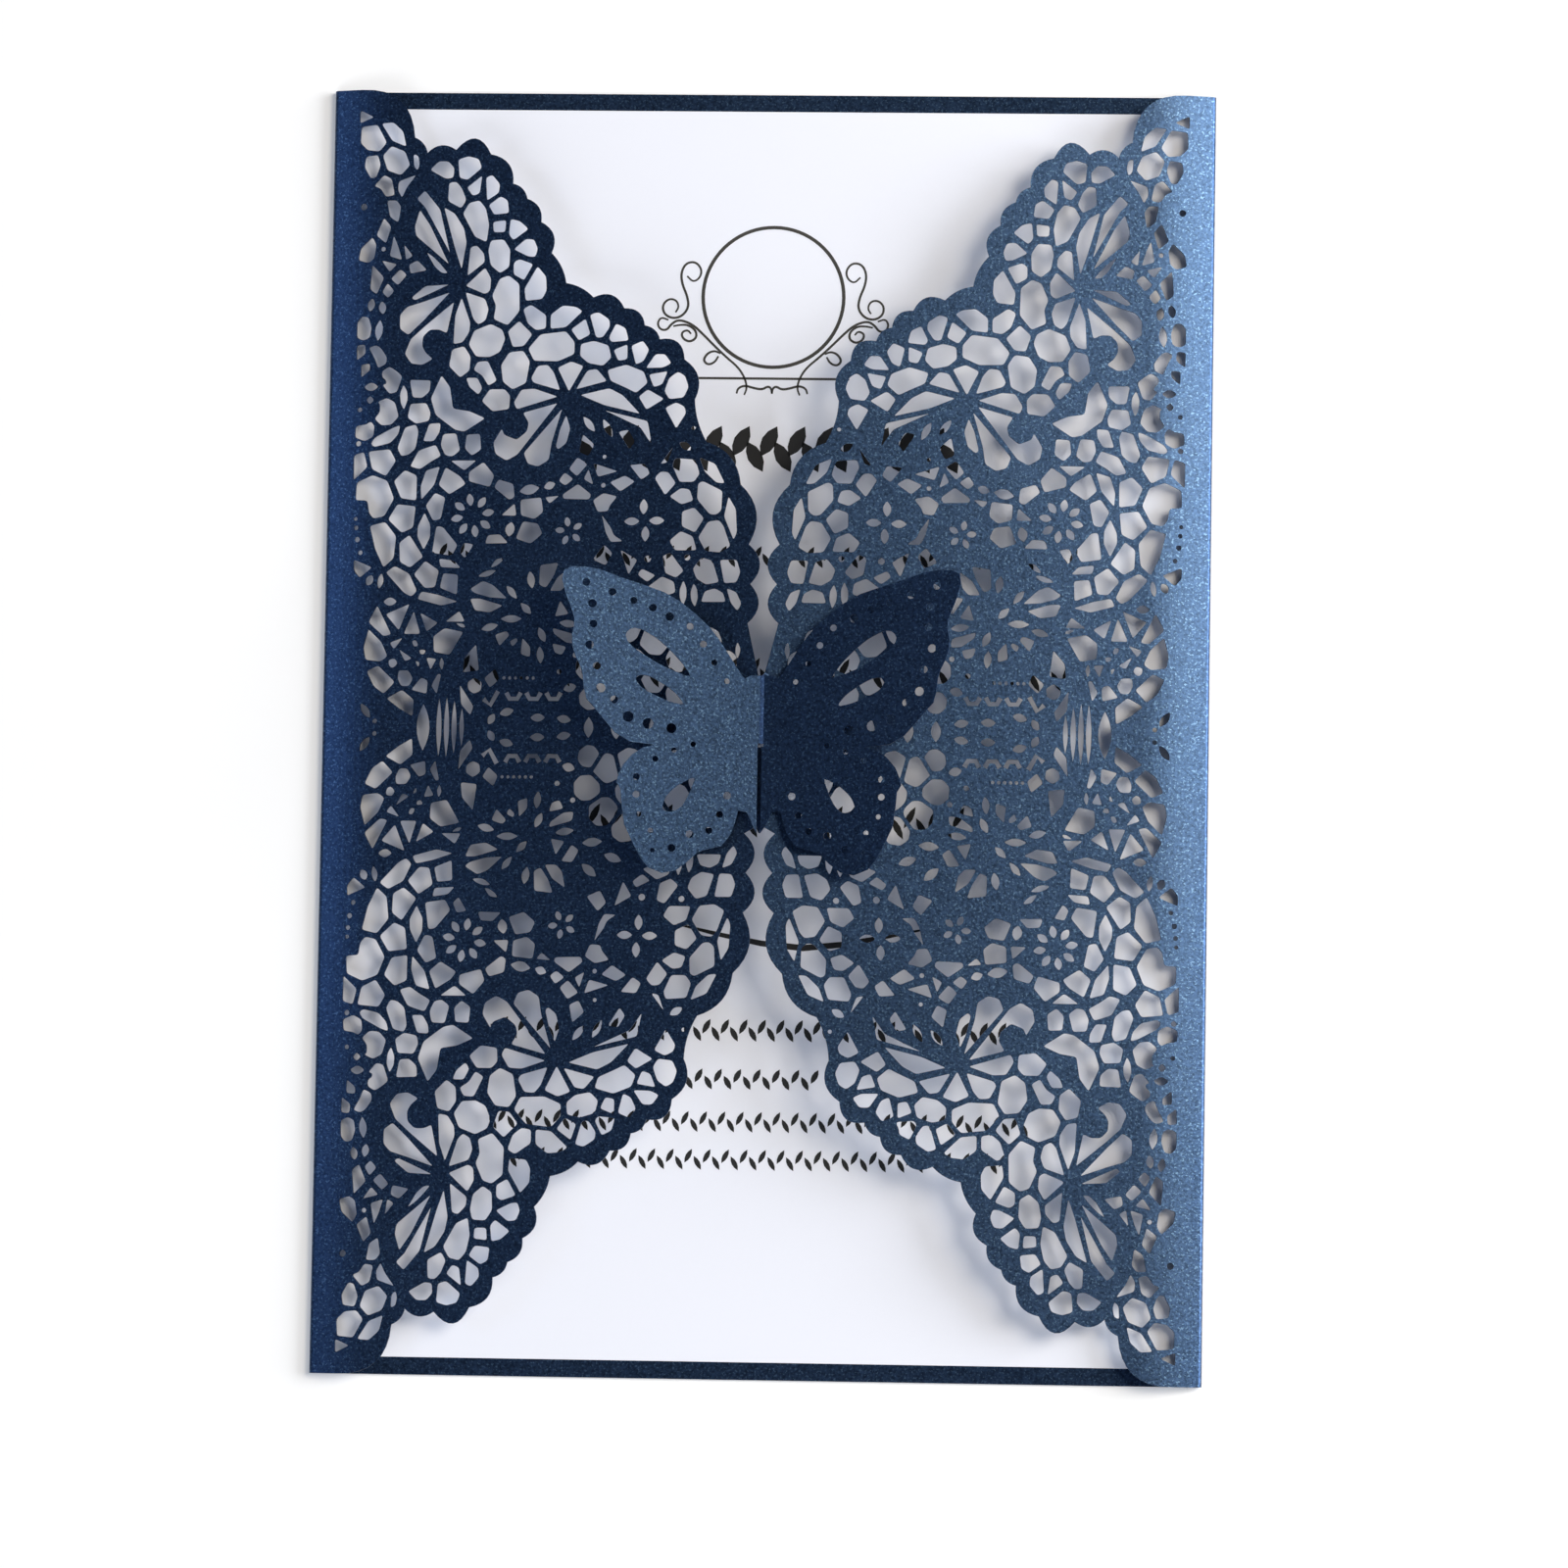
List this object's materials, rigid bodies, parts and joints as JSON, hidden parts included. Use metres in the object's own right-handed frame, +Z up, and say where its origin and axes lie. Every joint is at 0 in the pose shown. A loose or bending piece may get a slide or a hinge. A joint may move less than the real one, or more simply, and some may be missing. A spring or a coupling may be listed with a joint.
{
  "type": "laser cut wedding invitation card",
  "caption": "Gatefold invitation: pearl card folded round a plain white card, its lace-cut gates held shut by interlocked butterfly wings.",
  "frame": {"origin": "middle of the back panel's underside, the face that lies on the table", "axes": "+X across the card from the left gate's fold to the right one, +Y up the card along the folds, +Z up from the table towards the viewer"},
  "size_m": [0.1272, 0.185, 0.015],
  "materials": {
    "pearl_card": "pearl navy card, satin",
    "white_card": "smooth white card, faint pearl"
  },
  "bodies": {
    "root": {"gatefold_cover": "pearl_card", "insert_card": "white_card"}
  },
  "joints": []
}
